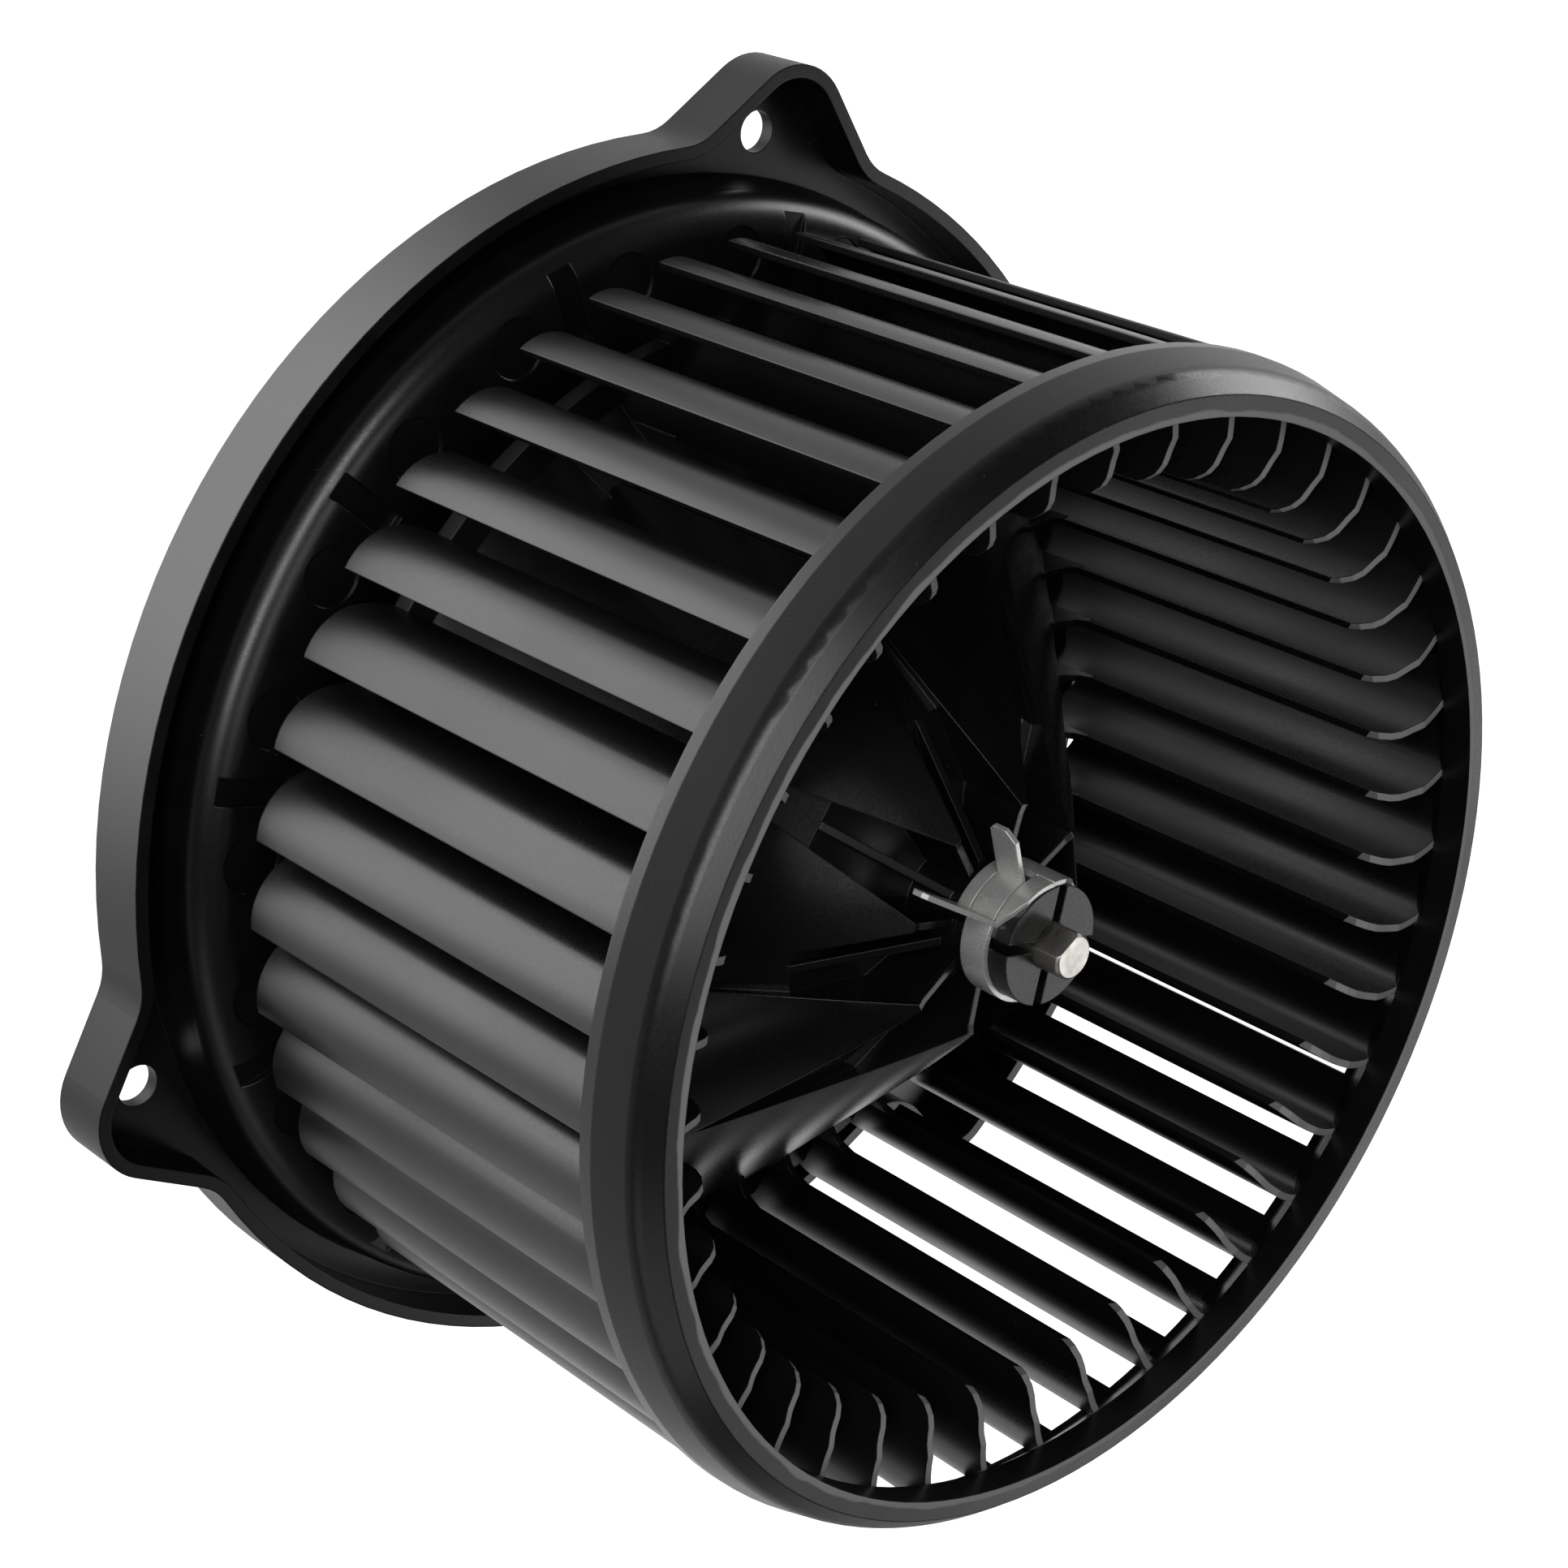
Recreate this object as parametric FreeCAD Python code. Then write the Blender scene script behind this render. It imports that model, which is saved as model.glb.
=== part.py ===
import FreeCAD, Part
import math
import os

# Blower motor wheel: a 12 V heater blower. The mounting flange and the motor stand still;
# the shaft, the armature and the squirrel-cage wheel turn together about +Z.
# Millimetres. Z = 0 is the face the three flange screws clamp, wheel above, motor below.

# ---- wheel -------------------------------------------------------------------------------
BLADES = 41
BLADE_PHASE = 8.59            # angle of the first blade's outer tip, degrees
TIP_R = 75.0                  # outer radius of the blades
BLADE_IN_R = 59.3             # inner radius of the blades
BLADE_T = 1.0
BLADE_ROOT_ANGLE = -7.3       # inner edge against the outer tip
BLADE_BEND = ((73.7, -3.4), (69.8, -6.3), (64.5, -7.6))    # the hook behind the tip: radius, angle
BLADE_FRONT = ((80.0, 81.0), (75.0, 81.2), (72.0, 85.6), (67.0, 85.2), (64.0, 84.0), (62.0, 83.5),
               (60.8, 82.8), (59.8, 81.5), (59.0, 79.4), (58.0, 76.0))    # rounded front end
WEB_FOOT_R, WEB_TOP_R, WEB_TOP_Z = 56.4, 60.2, 30.6        # web between the cone and each blade
BLADE_Z0, BLADE_Z1 = 17.3, 84.6
RING_BACK_Z, RING_TOP_Z = 79.8, 89.3
RING_R, RING_OPEN_R, RING_TOP_R = 75.4, 69.0, 71.6
RING_LAND_Z = 81.5            # top of the ring's upright wall
RING_KNEE = ((74.16, 85.82), (73.26, 87.46, 73.80, 86.70))  # knee between its two slopes
RING_INSIDE = ((69.1, 85.0), (70.6, 83.4), (72.2, 82.0), (73.2, 81.0))
HUB_R, HUB_EDGE_Z = 65.5, 20.0                 # edge of the hub under the blades
HUB_T = 2.2
PETALS = 8                    # raised fields of the hub cone, with a well between each pair
PETAL_TIP_R, PETAL_TIP_Z = 15.2, 69.4
CONE_FOOT_R, CONE_FOOT_Z = 61.8, 20.6
WELL_PHASE = 7.0              # angle of the first well's centre line
WELL_TIP_R, WELL_TIP_Z = 42.0, 41.2
WELL_R0, WELL_Z0, WELL_R1, WELL_Z1 = 7.0, 61.0, 24.5, 57.4
CREST_T = 1.0                 # web left between two wells
RIB_T, RIB_TOP_Z = 1.1, 67.8  # rib along each well, tall at the collar
COLLAR_R, COLLAR_TOP_Z, COLLAR_BOTTOM_Z = 7.8, 78.3, 50.0
SLOT_W, SLOT_Z0 = 1.4, 69.5

# ---- shaft and clamp ---------------------------------------------------------------------
SHAFT_R = 3.0
SHAFT_Z0, SHAFT_Z1 = -46.0, 82.3
FLAT_DIST, FLAT_Z0, FLAT_ANGLE = 2.2, 60.0, 75.5
CLAMP_Z0, CLAMP_Z1, CLAMP_T = 71.3, 75.3, 0.7
CLAMP_TANGS = ((59.0, 15.9), (103.0, 18.4))       # angle and reach of the squeeze tangs
FORK_Z0, FORK_Z1, FORK_SPAN = 69.2, 78.2, 60.0    # forked end of the band: height and angle

# ---- flange ------------------------------------------------------------------------------
RIM_R, RIM_TOP_Z, WALL = 84.5, 7.0, 1.8
FLOOR_T = 2.0
EARS = (30.0, 150.0)          # two plain ears; the third lobe carries the connector
LOBE_ANGLE, LOBE_R, LOBE_HALF, LOBE_CORNER = 270.0, 107.5, 8.0, 7.0
EAR_C, EAR_NOSE, EAR_FOOT, EAR_FILLET = 86.0, 9.0, 16.0, 8.0
COOLING_ANGLE = 90.0          # scroll air enters here and passes down to the motor
COOLING_R0, COOLING_R1, COOLING_HALF = 44.0, 56.0, 6.5
DUCT_T, DUCT_Z0 = 1.5, -3.5
BOLT_R, HOLE_R = 85.0, 2.8
DOME_FOOT_R = 79.2
SHOULDER_R, SHOULDER_IN = 5.0, 3.1
DECK_R, DECK_Z, DECK_T = 73.3, 10.8, 2.0
SLEEVE_IN, SLEEVE_OUT = 33.5, 35.7
SLEEVE_TOP, SLEEVE_BOTTOM = 20.0, -44.0
LIP_R, LIP_T = 30.0, 2.0
MARKS, MARK_R, MARK_RAD, MARK_DEEP = 24, 70.6, 3.9, 0.3
RIBS = 12
GROOVE_R, GROOVE_W, GROOVE_DEEP = 66.0, 3.6, 1.0      # shallow grooves across the shoulder
BOSS_R, BOSS_C, SCREW_R = 3.4, 39.0, 1.5
COVER_BOTTOM, COVER_TOP, COVER_R, COVER_IN, COVER_T = -54.0, -41.0, 38.2, 35.9, 2.0
TAB_T = 3.0

# ---- motor -------------------------------------------------------------------------------
CAN_R, CAN_IN = 29.5, 27.9
CAN_TOP, CAN_BOTTOM = 17.0, -42.0
HOUSING_R, HOUSING_IN, HOUSING_TOP = 8.6, 7.0, 23.0
PLATE = 1.6                   # sheet thickness of can and end cap
CAP_BOSS_BOTTOM = -50.4
BEARING_R, RUNNING_GAP = 6.9, 0.03
FRONT_BEARING = (14.6, 21.3)
REAR_BEARING = (-48.7, -42.6)
RETAINER_IN, RETAINER_R, RETAINER_T = 5.0, 12.0, 0.8
WASHER_R, WASHER_T = 4.8, 0.7
MAGNET_IN, MAGNET_Z0, MAGNET_Z1, MAGNET_ARC = 22.3, -24.0, 9.0, 132.0
CLIP_T = 0.8
VENT_ANGLES = (60.0, 120.0, 240.0, 300.0)
CAN_TABS, TAB_PHASE, TAB_SPAN, TAB_FOLD_R, TAB_FOLD_T = 4, 45.0, 14.0, 26.2, 0.8
CORE_R, CORE_Z0, CORE_Z1, TEETH = 21.6, -20.0, 5.0, 12
INSULATOR_T = 0.8
COIL_IN, COIL_OUT, COIL_H, COIL_ROUND = 7.5, 18.8, 5.2, 1.6
COMM_R, COMM_IN, COMM_Z0, COMM_Z1 = 10.5, 6.5, -38.0, -27.0
CARD_R, CARD_HOLE, CARD_T = 27.6, 13.0, 1.6
BRUSH_W, BRUSH_H, BRUSH_IN, BRUSH_OUT, BRUSH_Z = 6.0, 7.0, 10.55, 19.5, -32.5
BOX_T, BOX_GAP, BOX_IN, BOX_OUT = 0.8, 0.05, 11.6, 24.0
SIDES = (("a", 0.0), ("b", 180.0))             # the two brush stations
ISOLATOR_NOTCHES = 6

# ---- connector and leads -----------------------------------------------------------------
PLUG_C, PLUG_W, PLUG_D, PLUG_H, PLUG_T, PLUG_ROOF = 97.0, 24.0, 12.0, 19.0, 1.6, 6.0
HOOK_T, HOOK_Y, HOOK_TOP = 1.4, 7.0, 1.6
TERMINAL_W, TERMINAL_T, TERMINAL_L, TERMINAL_Y = 6.3, 0.8, 12.0, 5.5
LEAD_R, LEAD_Y, LEAD_Z, LEAD_GAP_R, LEAD_LOW_Z = 1.2, 3.0, -6.5, 31.5, -38.5

V = FreeCAD.Vector
UP = V(0, 0, 1)
O = V(0, 0, 0)
os.makedirs("parts", exist_ok=True)


def save(node, shape):
    """One node, one STEP file."""
    shape = shape.removeSplitter()
    if shape.ShapeType == "Compound" and len(shape.Solids) == 1:
        shape = shape.Solids[0]
    shape.exportStep("parts/%s.step" % node)


def at(r, deg, z=0.0):
    a = math.radians(deg)
    return V(r * math.cos(a), r * math.sin(a), z)


def tube(r_out, r_in, z0, z1):
    return cyl(r_out, z0, z1).cut(cyl(r_in, z0 - 1, z1 + 1))


def cyl(r, z0, z1, centre=O):
    return Part.makeCylinder(r, z1 - z0, V(centre.x, centre.y, z0))


def box(x0, x1, y0, y1, z0, z1):
    return Part.makeBox(x1 - x0, y1 - y0, z1 - z0, V(x0, y0, z0))


def turned(shape, deg):
    s = shape.copy()
    s.rotate(O, UP, deg)
    return s


def revolve(rz):
    """Solid of revolution about the shaft axis. A point is (radius, height), or (radius, height, r, z)
    where an arc through (r, z) leads to it."""
    edges, last = [], V(rz[-1][0], 0, rz[-1][1])
    for p in rz:
        end = V(p[0], 0, p[1])
        if len(p) == 4:
            edges.append(Part.Arc(last, V(p[2], 0, p[3]), end).toShape())
        else:
            edges.append(Part.makeLine(last, end))
        last = end
    return Part.Face(Part.Wire(edges)).revolve(O, UP, 360)


def around(shape, count, phase=0.0):
    return [turned(shape, phase + 360.0 * i / count) for i in range(count)]


def fused(shapes):
    return shapes[0].multiFuse(shapes[1:]) if len(shapes) > 1 else shapes[0]


def wire_run(points, r):
    """Round wire through the points, with ball corners."""
    parts = []
    for p, q in zip(points, points[1:]):
        parts.append(Part.makeCylinder(r, (q - p).Length, p, q - p))
    parts += [Part.makeSphere(r, p) for p in points[1:-1]]
    return fused(parts)


# ---- blower wheel: blades, hub and inlet ring in one moulding ----------------------------

def circle_through(p, q, s):
    c = Part.Circle(p, q, s)
    return c.Center, c.Radius


def blade_section():
    """J-shaped section: nearly radial inside, hooked forward to the tip."""
    tip = at(TIP_R - BLADE_T / 2, 0)
    bend, joint, belly = [at(r, angle) for r, angle in BLADE_BEND]
    root = at(BLADE_IN_R, BLADE_ROOT_ANGLE)
    inner, outer = [], []
    for p, q, s in ((tip, bend, joint), (joint, belly, root)):
        centre, r = circle_through(p, q, s)
        for side, keep in ((1, outer), (-1, inner)):
            k = (r + side * BLADE_T / 2) / r
            keep.append([centre + (v - centre) * k for v in (p, q, s)])
    meet_out = (outer[0][2] + outer[1][0]) * 0.5
    meet_in = (inner[0][2] + inner[1][0]) * 0.5
    edges = [
        Part.Arc(outer[0][0], outer[0][1], meet_out).toShape(),
        Part.Arc(meet_out, outer[1][1], outer[1][2]).toShape(),
        Part.makeLine(outer[1][2], inner[1][2]),
        Part.Arc(inner[1][2], inner[1][1], meet_in).toShape(),
        Part.Arc(meet_in, inner[0][1], inner[0][0]).toShape(),
        Part.makeLine(inner[0][0], outer[0][0]),
    ]
    return Part.Face(Part.Wire(edges))


def cone_z(r):
    slope = (PETAL_TIP_Z - CONE_FOOT_Z) / (CONE_FOOT_R - PETAL_TIP_R)
    return PETAL_TIP_Z - slope * (r - PETAL_TIP_R)


def prism(points, z0, z1):
    face = Part.Face(Part.makePolygon([V(x, y, z0) for x, y in points + [points[0]]]))
    return face.extrude(V(0, 0, z1 - z0))


def upright(points, half):
    """Plate of thickness 2 * half standing in the XZ plane."""
    face = Part.Face(Part.makePolygon([V(r, -half, z) for r, z in points + [points[0]]]))
    return face.extrude(V(0, 2 * half, 0))


def make_hub():
    """Cone with eight raised petals; wells between them deepen towards the collar."""
    c, t = math.cos(math.pi / PETALS), math.tan(math.pi / PETALS)
    floor = [(WELL_R0, WELL_Z0), (WELL_R1, WELL_Z1), (WELL_TIP_R, WELL_TIP_Z)]
    cone = revolve([(COLLAR_R - 1, PETAL_TIP_Z - 0.6), (PETAL_TIP_R - 1.2, PETAL_TIP_Z - 0.3),
                    (PETAL_TIP_R, PETAL_TIP_Z), (CONE_FOOT_R, CONE_FOOT_Z), (HUB_R, HUB_EDGE_Z),
                    (HUB_R, BLADE_Z0), (CONE_FOOT_R, BLADE_Z0),
                    (CONE_FOOT_R - 1.2, CONE_FOOT_Z - HUB_T),
                    (WELL_TIP_R, WELL_TIP_Z - 2.8), (WELL_R1, WELL_Z1 - HUB_T),
                    (COLLAR_R - 1, WELL_Z0 - HUB_T)])
    gap = CREST_T / 2 / c
    tip_x = PETAL_TIP_R * c
    plan = [(WELL_R0 * c, WELL_R0 * c * t - gap), (tip_x, tip_x * t - gap), (WELL_TIP_R, 0.0),
            (tip_x, gap - tip_x * t), (WELL_R0 * c, gap - WELL_R0 * c * t)]
    above = upright([(0, 90), (60, 90), (60, WELL_TIP_Z - 16.0)] + floor[::-1] + [(0, WELL_Z0)], 10)
    well = prism(plan, 40, 80).common(above)
    # hollow under each petal
    inset = HUB_T / 2
    petal = [(PETAL_TIP_R + 5.0, 0.0), (WELL_TIP_R * c, WELL_TIP_R * c * t - inset),
             (WELL_TIP_R + 2.0, 0.0), (WELL_TIP_R * c, inset - WELL_TIP_R * c * t)]
    under = revolve([(10, 30), (10, cone_z(10) - 3.2), (50, cone_z(50) - 3.2), (50, 30)])
    pocket = turned(prism(petal, 30, 75).common(under), 180.0 / PETALS)
    rib = upright([(WELL_R0, RIB_TOP_Z), (WELL_R1, WELL_Z1 + 0.2), (WELL_R1, WELL_Z1 - 1.0),
                   (WELL_R0, WELL_Z0 - 1.0)], RIB_T / 2)
    hub = cone.cut(fused(around(well, PETALS, WELL_PHASE)))
    hub = hub.cut(fused(around(pocket, PETALS, WELL_PHASE)))
    return hub.fuse(fused(around(rib, PETALS, WELL_PHASE)))


def make_wheel():
    face = blade_section()
    face.translate(V(0, 0, BLADE_Z0))
    blade = face.extrude(V(0, 0, BLADE_Z1 - BLADE_Z0))
    # ends follow the inside of the ring and the rounded inlet
    front_z, inside = BLADE_FRONT[-1][1], BLADE_FRONT[-1][0] - 8
    envelope = revolve([(inside, BLADE_Z0 - 1), (BLADE_FRONT[0][0], BLADE_Z0 - 1)] + list(BLADE_FRONT)
                       + [(inside, front_z)])
    # concave web from the cone up to the blade's inner edge
    foot_z, low_z = cone_z(WEB_FOOT_R - 0.4), 22.0
    web = upright([(WEB_FOOT_R, low_z), (WEB_FOOT_R - 0.4, foot_z), (WEB_FOOT_R + 1.2, foot_z + 0.5),
                   (WEB_TOP_R - 1.6, WEB_TOP_Z - 2.2), (WEB_TOP_R - 0.8, WEB_TOP_Z - 0.3),
                   (WEB_TOP_R, WEB_TOP_Z), (WEB_TOP_R, low_z)], BLADE_T / 2)
    blade = blade.common(envelope).fuse(turned(web, BLADE_ROOT_ANGLE))
    ring = revolve([(RING_R, RING_BACK_Z), (RING_R - 0.1, RING_LAND_Z)] + list(RING_KNEE)
                   + [(RING_TOP_R, RING_TOP_Z), (RING_OPEN_R, RING_TOP_Z)] + list(RING_INSIDE)
                   + [(RING_R - 2.0, RING_BACK_Z)])
    collar = tube(COLLAR_R + 0.05, SHAFT_R, COLLAR_BOTTOM_Z, COLLAR_TOP_Z)
    shell = fused([make_hub(), ring, collar])
    wheel = shell.multiFuse(around(blade, BLADES, BLADE_PHASE))
    slot = box(SHAFT_R - 1, COLLAR_R + 1, -SLOT_W / 2, SLOT_W / 2, SLOT_Z0, COLLAR_TOP_Z + 1)
    for s in around(slot, 4, FLAT_ANGLE + 45):
        wheel = wheel.cut(s)
    return wheel.cut(cyl(SHAFT_R, 0, 100))


def make_clamp():
    """Flat spring band round the slotted collar. One end is forked and the other passes through the
    fork; both ends turn out as squeeze tangs."""
    r_in = COLLAR_R + 0.06
    r_out = r_in + CLAMP_T
    mid = (r_in + r_out) / 2
    z_mid = (CLAMP_Z0 + CLAMP_Z1) / 2
    (tongue, tongue_r), (fork, fork_r) = CLAMP_TANGS

    def patch(angle, outline):
        """Part of the wide band inside an outline of (angle, height) points, seen along an angle."""
        face = [V(0, mid * math.sin(math.radians(a - angle)), z) for a, z in outline + [outline[0]]]
        cutter = Part.Face(Part.makePolygon(face)).extrude(V(2 * r_out, 0, 0))
        return tube(r_out, r_in, CLAMP_Z0 - 4, CLAMP_Z1 + 4).common(turned(cutter, angle))

    start, slot_end = tongue - 1.0, fork - FORK_SPAN
    gap = Part.makeCylinder(20, 20, V(0, 0, CLAMP_Z0 - 5), UP, start - slot_end)
    band = tube(r_out, r_in, CLAMP_Z0, CLAMP_Z1).cut(turned(gap, slot_end))
    widen = slot_end - 62.0
    front = [(slot_end, CLAMP_Z1 + 0.15), (slot_end, FORK_Z1), (slot_end + 32, FORK_Z1 - 0.1),
             (slot_end + 46, FORK_Z1 - 0.9), (slot_end + 56, FORK_Z1 - 1.9), (fork, CLAMP_Z1 + 0.6),
             (fork, CLAMP_Z1 + 0.15)]
    rear = [(slot_end, CLAMP_Z0 - 0.15), (slot_end, FORK_Z0), (fork, FORK_Z0),
            (fork, CLAMP_Z0 - 0.15)]
    flare = [(widen, z_mid), (widen, CLAMP_Z1), (widen + 14, CLAMP_Z1 + 0.4),
             (widen + 29, CLAMP_Z1 + 1.6), (widen + 45, FORK_Z1 - 0.3), (slot_end + 0.2, FORK_Z1),
             (slot_end + 0.2, FORK_Z0), (widen + 45, FORK_Z0 + 0.2), (widen + 29, CLAMP_Z0 - 1.2),
             (widen + 14, CLAMP_Z0 - 0.3), (widen, CLAMP_Z0)]
    pieces = [band, patch((slot_end + fork) / 2, front), patch((slot_end + fork) / 2, rear),
              patch((widen + slot_end) / 2, flare)]
    half = CLAMP_T / 2
    near = [(r_in + 0.2, CLAMP_Z0), (tongue_r - 0.5, CLAMP_Z0), (tongue_r, CLAMP_Z0 + 0.5),
            (tongue_r, CLAMP_Z1 - 1.4), (tongue_r - 1.4, CLAMP_Z1), (r_in + 0.2, CLAMP_Z1)]
    pieces.append(turned(upright(near, half), tongue))
    far = [(r_in + 0.1, FORK_Z0), (fork_r, CLAMP_Z0 - 1.4), (fork_r + 0.6, CLAMP_Z0 - 0.8),
           (fork_r + 0.6, CLAMP_Z0 + 0.6), (fork_r, CLAMP_Z0 + 1.2), (r_in + 1.2, CLAMP_Z1 + 0.5),
           (r_in + 0.1, CLAMP_Z1 + 0.6), (r_in + 0.1, CLAMP_Z1 + 0.15), (r_out + 0.08, CLAMP_Z1 + 0.15),
           (r_out + 0.08, CLAMP_Z0 - 0.15), (r_in + 0.1, CLAMP_Z0 - 0.15)]
    pieces.append(turned(upright(far, half), fork))
    return fused(pieces)


def make_shaft():
    s = Part.makeCylinder(SHAFT_R, SHAFT_Z1 - SHAFT_Z0, V(0, 0, SHAFT_Z0))
    s = s.makeChamfer(0.35, [e for e in s.Edges if e.Curve.TypeId == "Part::GeomCircle"])
    flat = box(FLAT_DIST, SHAFT_R + 1, -5, 5, FLAT_Z0, SHAFT_Z1 + 1)
    return s.cut(turned(flat, FLAT_ANGLE))


# ---- mounting flange ---------------------------------------------------------------------

def slab(face):
    """One millimetre of plate under a flat outline, so outlines can be joined as solids."""
    return face.extrude(V(0, 0, 1))


def ear_slab(angle):
    """Ear in plan: round nose on 45-degree flanks that run into the rim."""
    k = EAR_NOSE * math.sqrt(0.5)
    foot = EAR_FOOT + k
    pts = [V(EAR_C + k - foot, -k - foot, 0), V(EAR_C + k, -k, 0),
           V(EAR_C + k, k, 0), V(EAR_C + k - foot, k + foot, 0)]
    flanks = slab(Part.Face(Part.makePolygon(pts + [pts[0]])))
    return turned(flanks.fuse(cyl(EAR_NOSE, 0, 1, V(EAR_C, 0, 0))), angle)


def lobe_slab():
    """Large lobe with an edge concentric with the shaft."""
    half = math.radians(LOBE_HALF)
    pts = [V(70, -70 * math.tan(half), 0), V(120, -120 * math.tan(half), 0),
           V(120, 120 * math.tan(half), 0), V(70, 70 * math.tan(half), 0)]
    core = slab(Part.Face(Part.makePolygon(pts + [pts[0]]))).common(cyl(LOBE_R - LOBE_CORNER, 0, 1))
    floor = min(core.Faces, key=lambda f: f.CenterOfMass.z)
    return turned(slab(Part.Face(floor.OuterWire).makeOffset2D(LOBE_CORNER)), LOBE_ANGLE)


def rim_outline():
    plan = cyl(RIM_R, 0, 1).multiFuse([ear_slab(a) for a in EARS] + [lobe_slab()]).removeSplitter()
    floor = min(plan.Faces, key=lambda f: f.CenterOfMass.z)
    return Part.Face(floor.OuterWire).makeOffset2D(EAR_FILLET).makeOffset2D(-EAR_FILLET)


def make_flange():
    outline = rim_outline()
    inner = outline.makeOffset2D(-WALL)
    rim = outline.extrude(V(0, 0, RIM_TOP_Z + FLOOR_T))
    rim.translate(V(0, 0, -FLOOR_T))
    hollow = inner.extrude(V(0, 0, RIM_TOP_Z + 1))
    rim = rim.cut(hollow).cut(cyl(DOME_FOOT_R - WALL, -10, 10))
    bend_z, k = DECK_Z - SHOULDER_R, math.sqrt(0.5)
    dome = revolve([(DOME_FOOT_R, -FLOOR_T), (DOME_FOOT_R, 0.0), (DECK_R + SHOULDER_R, bend_z),
                    (DECK_R, DECK_Z, DECK_R + SHOULDER_R * k, bend_z + SHOULDER_R * k),
                    (SLEEVE_OUT, DECK_Z), (SLEEVE_OUT, SLEEVE_TOP), (LIP_R, SLEEVE_TOP),
                    (LIP_R, SLEEVE_TOP - LIP_T), (SLEEVE_IN, SLEEVE_TOP - LIP_T),
                    (SLEEVE_IN, SLEEVE_BOTTOM), (SLEEVE_OUT, SLEEVE_BOTTOM),
                    (SLEEVE_OUT, DECK_Z - DECK_T), (DECK_R, bend_z + SHOULDER_IN),
                    (DECK_R + SHOULDER_IN * k, bend_z + SHOULDER_IN * k), (DECK_R + SHOULDER_IN, bend_z),
                    (DOME_FOOT_R - WALL, -FLOOR_T)])
    pieces = [rim, dome]
    rib = upright([(SLEEVE_OUT - 0.5, -FLOOR_T), (DOME_FOOT_R - 1.2, -FLOOR_T), (DOME_FOOT_R - 1.2, 1.0),
                   (DECK_R + 1.0, DECK_Z - 1.6), (SLEEVE_OUT - 0.5, DECK_Z - 1.2)], 0.8)
    pieces += around(rib, RIBS, 15.0)
    boss = cyl(BOSS_R, SLEEVE_BOTTOM + 4, SLEEVE_BOTTOM + 18, V(BOSS_C, 0, 0))
    web = box(SLEEVE_OUT - 0.5, BOSS_C, -1.5, 1.5, SLEEVE_BOTTOM + 4, SLEEVE_BOTTOM + 18)
    pieces += around(boss.fuse(web), 3, 30.0)
    flange = fused(pieces)
    cuts = [cyl(HOLE_R, -10, 10, at(BOLT_R, a)) for a in EARS + (LOBE_ANGLE,)]
    mark = cyl(MARK_RAD, DECK_Z - MARK_DEEP, DECK_Z + 3, V(MARK_R, 0, 0))
    cuts += around(mark, MARKS, 7.5)
    groove = box(GROOVE_R, 80, -GROOVE_W / 2, GROOVE_W / 2, DECK_Z - GROOVE_DEEP, DECK_Z + 3)
    cuts += around(groove, RIBS)
    cuts += around(cyl(SCREW_R, -60, SLEEVE_BOTTOM + 14, V(BOSS_C, 0, 0)), 3, 30.0)
    # cooling air: window in the deck, then a window in the sleeve
    window = box(COOLING_R0, COOLING_R1, -COOLING_HALF, COOLING_HALF, DECK_Z - 6, DECK_Z + 4)
    sleeve_window = box(SLEEVE_IN - 3, SLEEVE_OUT + 2, -COOLING_HALF, COOLING_HALF,
                        DUCT_Z0 + DUCT_T, DECK_Z - DECK_T)
    cuts += [turned(window, COOLING_ANGLE), turned(sleeve_window, COOLING_ANGLE)]
    # slots for the connector's hooks, and the lead exit through the sleeve
    hook = PLUG_C + PLUG_D / 2
    cuts += [turned(box(hook - HOOK_T, hook + HOOK_T * 0.6, s * HOOK_Y - 1.5, s * HOOK_Y + 1.5,
                        -FLOOR_T - 1, 1.0), LOBE_ANGLE) for s in (-1, 1)]
    cuts.append(turned(box(30, 38, -LEAD_Y - 2, LEAD_Y + 2, LEAD_Z - 2.2, LEAD_Z + 2.2), LOBE_ANGLE))
    return flange.cut(fused(cuts))


def make_cooling_duct():
    """Open channel under the deck from the window to the sleeve."""
    top = DECK_Z - DECK_T
    half = COOLING_HALF + DUCT_T
    outer = box(SLEEVE_OUT - 1, COOLING_R1 + DUCT_T, -half, half, DUCT_Z0, top)
    inner = box(SLEEVE_OUT - 2, COOLING_R1, -COOLING_HALF, COOLING_HALF, DUCT_Z0 + DUCT_T, top + 1)
    return turned(outer.cut(inner).cut(cyl(SLEEVE_OUT, -20, 20)), COOLING_ANGLE)


# ---- motor: standing parts ---------------------------------------------------------------

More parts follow.
